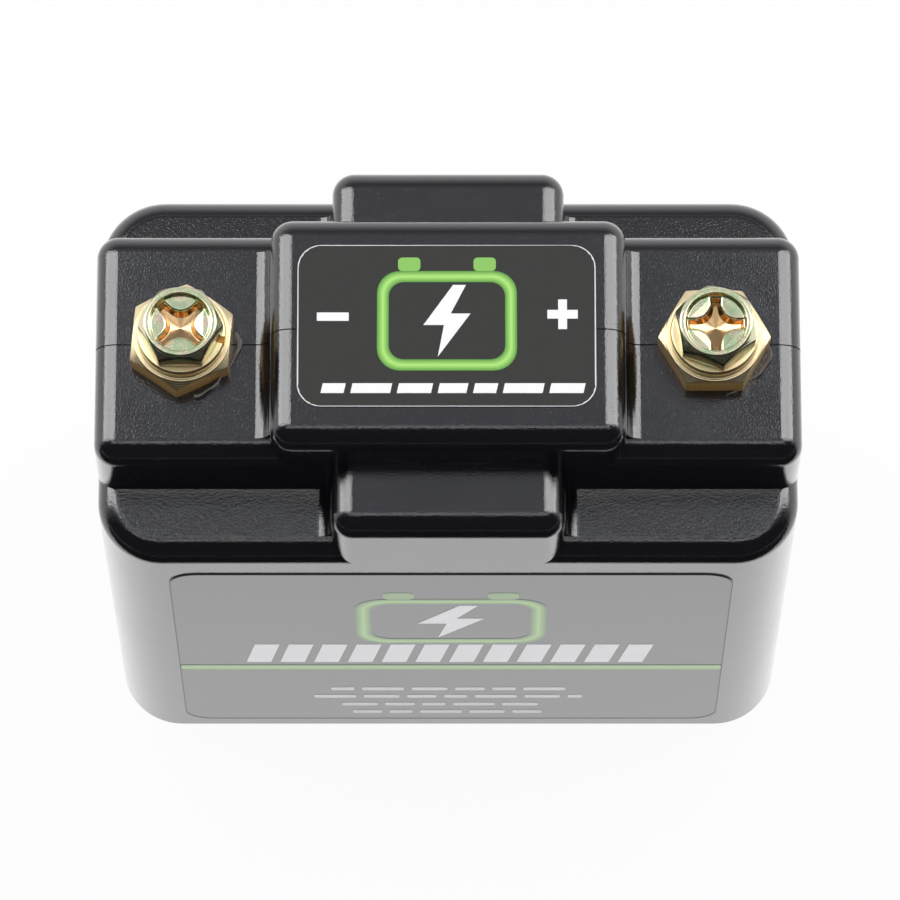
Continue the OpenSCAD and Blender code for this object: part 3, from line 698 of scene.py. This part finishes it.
def rounded_outline(width, height, radius, steps=8, centre=(0, 0)):
    """Points of a rectangle with round corners, in millimetres."""
    points = []
    for sx, sy, start in ((1, 1, 0), (-1, 1, 90), (-1, -1, 180), (1, -1, 270)):
        for k in range(steps):
            a = math.radians(start + 90 * k / (steps - 1))
            points.append((centre[0] + sx * (width / 2 - radius) + radius * math.cos(a),
                           centre[1] + sy * (height / 2 - radius) + radius * math.sin(a)))
    return np.array(points)


def on_label(label, points, lift):
    """Puts points of a drawing, in the case's millimetres, on a label, lift millimetres proud of it."""
    low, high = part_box(label)
    lift = np.full(len(points), lift) * MM
    across, up = points[:, 0] * MM, points[:, 1] * MM
    if label == "top_label":
        return np.stack([across, up, high.z + lift], 1)
    return np.stack([across, low.y - lift, up], 1)


def finish_print(piece, shares):
    layer = piece.data.attributes.new(SHARE, "FLOAT", "POINT")
    layer.data.foreach_set("value", np.asarray(shares, np.float32))
    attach(piece, "battery")
    return piece


def print_patch(name, label, outline, ink, share=1.0):
    """A flat filled shape."""
    rings = [on_label(label, outline, -INK_SINK), on_label(label, outline, INK_T)]
    return finish_print(loft(name, rings, ink, sharp_deg=30), [share] * (2 * len(outline)))


def print_band(name, label, outer, inner, ink):
    """A closed line between two outlines, lighter along its middle."""
    middle = (outer + inner) / 2
    rings = [on_label(label, outer, -INK_SINK), on_label(label, outer, INK_T), on_label(label, middle, INK_T),
             on_label(label, inner, INK_T), on_label(label, inner, -INK_SINK)]
    shares = np.repeat([0, 0, 1, 0, 0], len(outer))
    return finish_print(loft(name, rings, ink, back_to_start=True, sharp_deg=30), shares)


def slanted(x, y, width, height, slant=0.0):
    """A bar about its middle, leaning to the right."""
    half_w, half_h = width / 2, height / 2
    return np.array([(x - half_w - slant, y - half_h), (x + half_w - slant, y - half_h),
                     (x + half_w + slant, y + half_h), (x - half_w + slant, y + half_h)])


BOLT_SHAPE = np.array([(0.16, 1.0), (-0.62, -0.12), (-0.08, -0.12), (-0.24, -1.0), (0.62, 0.2), (0.1, 0.2),
                       (0.5, 1.0)])


def battery_symbol(label, x, y, width, height, line, green, white):
    """A round-cornered battery outline with two poles and a bolt of lightning."""
    pole_w, pole_h = width * 0.16, height * 0.12
    body_h = height - pole_h
    body_y = y - pole_h / 2
    radius = body_h * 0.22
    outer = rounded_outline(width, body_h, radius, centre=(x, body_y))
    inner = rounded_outline(width - 2 * line, body_h - 2 * line, radius - line * 0.7, centre=(x, body_y))
    print_band(label + "_symbol_outline", label, outer, inner, green)
    for k, s in enumerate((-1, 1)):
        pole = rounded_outline(pole_w, pole_h, pole_h * 0.3,
                               centre=(x + s * width * 0.27, y + height / 2 - pole_h / 2))
        print_patch(f"{label}_symbol_pole_{k + 1}", label, pole, green, 0.5)
    bolt = BOLT_SHAPE * (body_h * 0.36) + np.array([x, body_y])
    print_patch(label + "_symbol_bolt", label, bolt, white)


print("ink shapes are", INK_T, "mm proud")

# %% [markdown]
# ## The top label
# A thin white line runs round the edge of this label. Its inner side wobbles by 0.05 mm, because
# the cut of the real one wanders against its print. All places are in the case's millimetres.

# %% Print on the top label
TOP_CORNER = 3.2
TOP_LINE = 0.16
TOP_WOBBLE = 0.05
# A symbol is its middle, width, height and line width, and a bar its middle, width and height
TOP_SYMBOL = (-0.15, 2.1, 18.9, 16.2, 1.6)
MINUS = (-15.55, 1.7, 4.3, 1.2)
PLUS_X, PLUS_Y = 15.45, 2.05
PLUS_W, PLUS_T = 4.1, 1.25
PLUS_ARM_W, PLUS_ARM = 1.2, 1.5
TOP_DASHES = 7
DASH_FROM_X, DASH_Y = -17.0, -8.5
TOP_DASH_H, TOP_DASH_GAP = 1.4, 0.9
TOP_DASH_MIN, TOP_DASH_STEP = 3.1, 0.75


def print_top_label():
    label = "top_label"
    low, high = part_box(label)
    width, height = (high.x - low.x) / MM, (high.y - low.y) / MM
    middle = np.array([(low.x + high.x) / 2, (low.y + high.y) / 2]) / MM
    outer = rounded_outline(width, height, TOP_CORNER, 12)
    wobble = TOP_WOBBLE * np.sin(np.arange(len(outer)) * 2.7)
    inner = outer * (1 - 2 * (TOP_LINE + wobble) / width)[:, None]
    print_band("top_label_edge", label, outer + middle, inner + middle, white_ink)
    print_patch("top_label_minus", label, slanted(*MINUS), white_ink)
    print_patch("top_label_plus_across", label, slanted(PLUS_X, PLUS_Y, PLUS_W, PLUS_T), white_ink)
    for k, s in enumerate((-1, 1)):
        arm = slanted(PLUS_X, PLUS_Y + s * (PLUS_T + PLUS_ARM) / 2, PLUS_ARM_W, PLUS_ARM)
        print_patch(f"top_label_plus_arm_{k + 1}", label, arm, white_ink)
    battery_symbol(label, *TOP_SYMBOL, green_ink, white_ink)
    x = DASH_FROM_X
    for k in range(TOP_DASHES):
        length = TOP_DASH_MIN + (k * 3 % 4) * TOP_DASH_STEP
        shape = slanted(x + length / 2, DASH_Y, length, TOP_DASH_H, 0.15)
        print_patch(f"top_label_dash_{k + 1}", label, shape, white_ink)
        x += length + TOP_DASH_GAP


print_top_label()
print("top label: symbol, plus, minus and dashes")

# %% [markdown]
# ## The front label
# Down the front wall the label shows the symbol, a gauge of slanted bars over a green stripe, and
# four rows of dashes. A dark line round it is painted shade along the cut edge of the film.

# %% Print on the front label
FRONT_SYMBOL = (0.4, 53.2, 27.0, 24.0, 2.4)
FRONT_CORNER, FRONT_LINE = 4.0, 0.15
GAUGE_BARS = 12
GAUGE_FROM_X, GAUGE_STEP = -26.4, 4.83
# A gauge bar is its height up the wall, width, height and slant
GAUGE_BAR = (36.5, 3.5, 8.6, 0.7)
STRIPE_Z, STRIPE_HALF = 29.5, 1.3
DASH_H = 1.5
DASH_GAP = 1.1
DASH_MIN, DASH_STEP = 3.4, 0.9
# A row of dashes is its height up the wall and half its length
DASH_ROWS = ((18.7, 17.0), (14.9, 19.5), (10.9, 15.5), (7.0, 14.0))


def print_front_label():
    label = "front_label"
    low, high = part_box(label)
    width, height = (high.x - low.x) / MM, (high.z - low.z) / MM
    middle = np.array([(low.x + high.x) / 2, (low.z + high.z) / 2]) / MM
    outer = rounded_outline(width, height, FRONT_CORNER, 12, middle)
    inner = rounded_outline(width - 2 * FRONT_LINE, height - 2 * FRONT_LINE, FRONT_CORNER - 0.1, 12, middle)
    # The dark band round the label is painted shade at its cut edge
    print_band("front_label_edge", label, outer, inner, painted_edge_shade_ink)
    battery_symbol(label, *FRONT_SYMBOL, front_green, front_white)
    for k in range(GAUGE_BARS):
        shape = slanted(GAUGE_FROM_X + k * GAUGE_STEP, *GAUGE_BAR)
        print_patch(f"front_label_gauge_{k + 1}", label, shape, front_white)
    end = width / 2 - 0.1
    section = [(-STRIPE_HALF, -INK_SINK), (-STRIPE_HALF, INK_T), (0, INK_T), (STRIPE_HALF, INK_T),
               (STRIPE_HALF, -INK_SINK)]
    rings = []
    for x in (middle[0] - end, middle[0] + end):
        rings.append(np.concatenate([on_label(label, np.array([(x, STRIPE_Z + dz)]), lift)
                                     for dz, lift in section]))
    finish_print(loft("front_label_stripe", rings, front_green, sharp_deg=30), [0, 0, 1, 0, 0] * 2)
    for row, (z, half_row) in enumerate(DASH_ROWS):
        x, k = -half_row, 0
        while x < half_row - 2:
            length = min(DASH_MIN + ((k + row) * 3 % 4) * DASH_STEP, half_row - x)
            shape = rounded_outline(length, DASH_H, 0.4, 4, (x + length / 2, z))
            print_patch(f"front_label_dash_{row + 1}_{k + 1}", label, shape, front_white, 0.5)
            x, k = x + length + DASH_GAP, k + 1


print_front_label()
print("front label: symbol, gauge, stripe and dashes")

# %% [markdown]
# ## Finishes of the pieces that the frame already shapes well
# The case halves, the labels and everything inside keep their solids from the frame. Inside are
# moulded trays, nickel strip, copper straps, wrapped cells and a circuit board. Each gets a simple
# finish of its own: a colour that varies a little, and a fine bump of the right kind and scale.

# %% Finishes for the inside
def plain_finish(name, code, roughness, spot_mm, bump_mm, metallic=0.0):
    material, tree, shader = new_material(name, {"Roughness": roughness, "Metallic": metallic})
    place = add_node(tree, "ShaderNodeTexCoord").outputs["Object"]
    spots = add_node(tree, "ShaderNodeTexNoise", {"Scale": per_mm(spot_mm), "Detail": 3.0},
                     {"Vector": place})
    shade = add_node(tree, "ShaderNodeMapRange", {"To Min": 0.8, "To Max": 1.15},
                     {"Value": spots.outputs["Fac"]})
    colour = add_node(tree, "ShaderNodeMix", {"data_type": "RGBA", "blend_type": "MULTIPLY", 0: 1.0,
                                              6: linear(code)}, {7: shade.outputs["Result"]})
    bump = add_node(tree, "ShaderNodeBump", {"Strength": 0.5, "Distance": bump_mm * MM},
                    {"Height": spots.outputs["Fac"]})
    feed(tree, shader, {"Base Color": colour.outputs[2], "Normal": bump.outputs["Normal"]})
    return material


# Each finish is its name, colour, roughness, spot size and bump height, and how metallic it is
SLOT_FINISHES = {
    "holder_plastic": plain_finish("moulded_grey_abs", "#3f4247", 0.5, 0.4, 0.02),
    "nickel_strip": plain_finish("rolled_nickel_strip", "#cfcbc0", 0.35, 0.6, 0.01, 1.0),
    "copper_strap": plain_finish("rolled_copper", "#d98e68", 0.3, 0.8, 0.01, 1.0),
    "turned_brass": brass,
    "black_sleeve": plain_finish("black_heat_shrink", "#18181a", 0.55, 1.0, 0.03),
    "red_sleeve": plain_finish("red_heat_shrink", "#a52019", 0.55, 1.0, 0.03),
    "cell_wrap": plain_finish("blue_shrink_wrap", "#1e4f8f", 0.25, 2.0, 0.02),
    "fish_paper": plain_finish("fibre_insulating_sheet", "#c3c8b5", 0.8, 0.5, 0.03),
    "circuit_board": plain_finish("green_solder_mask", "#0d5a31", 0.4, 0.7, 0.01),
    "component_black": plain_finish("moulded_epoxy", "#1c1c1e", 0.6, 0.2, 0.01),
    "white_nylon": plain_finish("natural_nylon", "#e4e0d0", 0.5, 0.6, 0.02),
    "wire_insulation": plain_finish("blue_wire_insulation", "#22389a", 0.45, 0.8, 0.01),
    "black_plastic": case_plastic,
}


def dress(node, material):
    slots = frame["nodes"][node].data.materials
    slots.clear()
    slots.append(material)


for part in frame["record"]["subparts"]:
    if part["material_slot"] in SLOT_FINISHES:
        dress(part["node"], SLOT_FINISHES[part["material_slot"]])
dress("top_label", top_vinyl)
dress("front_label", front_vinyl)

# %% [markdown]
# ## The table
# The battery stands on plain white acrylic that fills the view. For the camera, for gloss and for
# clear pieces the acrylic is mostly its own even white, with a share that takes the shadow. Towards
# the camera it ends: a black card, unseen by the camera, gives the dark side of every rounded edge.

# %% Floor and card
FLOOR_REACH = 4.0
FLOOR_Z = -0.05 * MM
OWN_WHITE_SHARE = 0.95
CARD_HALF_WIDTH = 1.5
CARD_FROM_Y, CARD_TO_Y = -76 * MM, -2.5


def plane(name, x0, x1, y0, y1, z, material):
    mesh = bpy.data.meshes.new(name)
    mesh.from_pydata([(x0, y0, z), (x1, y0, z), (x1, y1, z), (x0, y1, z)], [], [(0, 1, 2, 3)])
    mesh.materials.append(material)
    sheet = bpy.data.objects.new(name, mesh)
    bpy.context.scene.collection.objects.link(sheet)
    return sheet


def white_acrylic():
    material = bpy.data.materials.new("white_acrylic")
    material.use_nodes = True
    tree = material.node_tree
    tree.nodes.clear()
    path = add_node(tree, "ShaderNodeLightPath")
    seen = add_node(tree, "ShaderNodeMath", {"operation": "MAXIMUM"},
                    {0: path.outputs["Is Camera Ray"], 1: path.outputs["Is Glossy Ray"]})
    seen = add_node(tree, "ShaderNodeMath", {"operation": "MAXIMUM"},
                    {0: seen.outputs[0], 1: path.outputs["Is Transmission Ray"]})
    share = add_node(tree, "ShaderNodeMath", {"operation": "MULTIPLY", 1: OWN_WHITE_SHARE},
                     {0: seen.outputs[0]})
    paint = add_node(tree, "ShaderNodeBsdfDiffuse", {"Color": linear("#ffffff")})
    glow = add_node(tree, "ShaderNodeEmission", {"Color": linear("#ffffff"), "Strength": 1.0})
    mix = add_node(tree, "ShaderNodeMixShader", None,
                   {0: share.outputs[0], 1: paint.outputs[0], 2: glow.outputs[0]})
    add_node(tree, "ShaderNodeOutputMaterial", None, {"Surface": mix.outputs[0]})
    return material


plane("floor", -FLOOR_REACH, FLOOR_REACH, -FLOOR_REACH, FLOOR_REACH, FLOOR_Z, white_acrylic())
black_card, _, _ = new_material("black_card", {"Base Color": linear("#0a0a0a"), "Roughness": 0.9})
card = plane("front_card", -CARD_HALF_WIDTH, CARD_HALF_WIDTH, CARD_TO_Y, CARD_FROM_Y, 0, black_card)
card.visible_camera = False
card.visible_diffuse = False
card.visible_shadow = False
print("floor", 2 * FLOOR_REACH, "m wide")

# %% [markdown]
# ## The light
# Two strip boxes stand to the left and right and give the long highlights on the rounded edges. A
# narrow one right overhead gives the dotted line along the front edge of each flat, and the sparkle
# of the shoulders. A weak lamp in front fills the printed front label. It is left out of gloss,
# because the rounded front edges mirror nothing but black there.

# %% Lamps
def area_lamp(name, direction, away, size_x, size_y, radiance):
    """A box lamp that faces the origin, with its size_x side as level as it can be along x."""
    lamp = bpy.data.lights.new(name, "AREA")
    lamp.shape = "RECTANGLE"
    lamp.size, lamp.size_y = size_x, size_y
    lamp.energy = radiance * math.pi * size_x * size_y
    holder = bpy.data.objects.new(name, lamp)
    back = np.array(direction) / np.linalg.norm(direction)
    wide = np.array([0, 1, 0]) - back[1] * back
    wide /= np.linalg.norm(wide)
    turn = Matrix(np.stack([np.cross(wide, back), wide, back], 1).tolist())
    holder.matrix_world = Matrix.Translation((away * back).tolist()) @ turn.to_4x4()
    bpy.context.scene.collection.objects.link(holder)
    return holder


for name, side_x in (("left_strip", -0.58), ("right_strip", 0.58)):
    area_lamp(name, (side_x, 0.319, 0.75), away=1.0, size_x=0.97, size_y=0.30, radiance=4.3)
area_lamp("overhead_strip", (0, -0.06, 1), away=1.0, size_x=0.85, size_y=0.16, radiance=1.4)
fill = area_lamp("front_fill", (0, -0.86, 0.5), away=1.6, size_x=1.0, size_y=1.0, radiance=2.4)
fill.visible_glossy = False
print("lamps:", len(bpy.data.lights))

# %% [markdown]
# ## The tent
# Round the lamps is a plain tent. Behind the battery it is white at the horizon, dim at 45 degrees
# and blue-grey overhead, and towards the camera it is black. These bands are what the rounded back
# edges of the case mirror, one after the other.

# %% Tent
# Each band is a height, from 0 at the horizon to 1 overhead, and how bright the tent is there
BANDS = ((0.2, 1.0), (0.5, 0.5), (0.72, 0.2), (0.86, 0.46))
BAND_TINT = (0.97, 0.98, 1.0)
OVERHEAD = (0.46, 0.48, 0.56, 1)
TENT_BLACK = (0.03, 0.03, 0.03, 1)
WHITE = (1, 1, 1, 1)


def tent():
    world = bpy.data.worlds.new("tent")
    bpy.context.scene.world = world
    world.use_nodes = True
    tree = world.node_tree
    tree.nodes.clear()
    way = add_node(tree, "ShaderNodeTexCoord").outputs["Generated"]
    parts = add_node(tree, "ShaderNodeSeparateXYZ", None, {0: way})
    behind = add_node(tree, "ShaderNodeMapRange", {"interpolation_type": "SMOOTHSTEP", "From Min": -0.15,
                                                   "From Max": 0.2}, {"Value": parts.outputs["Y"]})
    bands = add_node(tree, "ShaderNodeValToRGB", None, {"Fac": parts.outputs["Z"]})
    bands.color_ramp.elements[0].color = WHITE
    bands.color_ramp.elements[1].color = OVERHEAD
    for height, value in BANDS:
        bands.color_ramp.elements.new(height).color = (*[value * share for share in BAND_TINT], 1)
    shaded = add_node(tree, "ShaderNodeMix", {"data_type": "RGBA", 6: TENT_BLACK},
                      {0: behind.outputs["Result"], 7: bands.outputs["Color"]})
    path = add_node(tree, "ShaderNodeLightPath")
    seen = add_node(tree, "ShaderNodeMix", {"data_type": "RGBA", 7: WHITE},
                    {0: path.outputs["Is Camera Ray"], 6: shaded.outputs[2]})
    glow = add_node(tree, "ShaderNodeBackground", {"Strength": 1.0}, {"Color": seen.outputs[2]})
    add_node(tree, "ShaderNodeOutputWorld", None, {"Surface": glow.outputs[0]})


tent()
bpy.context.scene.view_settings.view_transform = "Standard"
print("tent: white behind, black in front")
